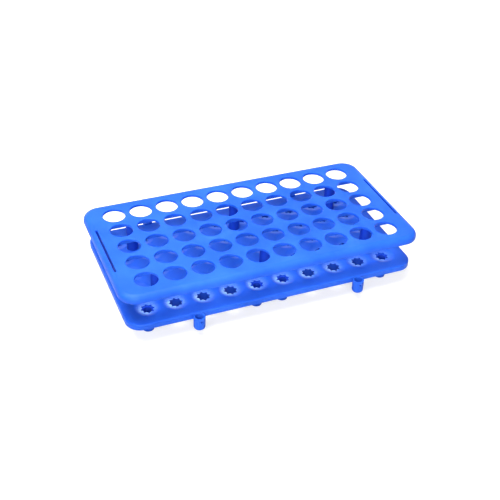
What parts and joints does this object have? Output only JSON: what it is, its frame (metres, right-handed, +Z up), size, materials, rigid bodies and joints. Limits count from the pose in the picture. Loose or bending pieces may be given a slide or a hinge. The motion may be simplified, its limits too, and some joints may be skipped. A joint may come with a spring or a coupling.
{
  "type": "test tube rack",
  "caption": "Low two-tier rack of blue plastic: a perforated top tray on posts above a lower tray with star-shaped drain holes, on tubular feet.",
  "frame": {"origin": "on the floor under the middle of the grid of tube holes, which is the middle of the rack", "axes": "+X along the long side, +Y from the cups at the front to the hooks at the back, +Z up"},
  "size_m": [0.245, 0.1416, 0.0468],
  "materials": {
    "blue_plastic": "satin"
  },
  "bodies": {
    "base": {"lower_tray": "blue_plastic", "post_front_left": "blue_plastic", "post_rear_left": "blue_plastic", "post_front_middle": "blue_plastic", "post_rear_middle": "blue_plastic", "post_front_right": "blue_plastic", "post_rear_right": "blue_plastic", "foot_front_left_end": "blue_plastic", "foot_rear_left_end": "blue_plastic", "foot_front_left_inner": "blue_plastic", "foot_rear_left_inner": "blue_plastic", "foot_front_right_inner": "blue_plastic", "foot_rear_right_inner": "blue_plastic", "foot_front_right_end": "blue_plastic", "foot_rear_right_end": "blue_plastic", "link_cup_left": "blue_plastic", "link_cup_right": "blue_plastic", "link_hook_left": "blue_plastic", "link_hook_right": "blue_plastic"},
    "top": {"top_tray": "blue_plastic"}
  },
  "joints": [
    {"name": "top_tray_lift", "type": "slide", "parent": "base", "child": "top", "axis": [0, 0, 1], "range_m": [0, 0.012]}
  ]
}
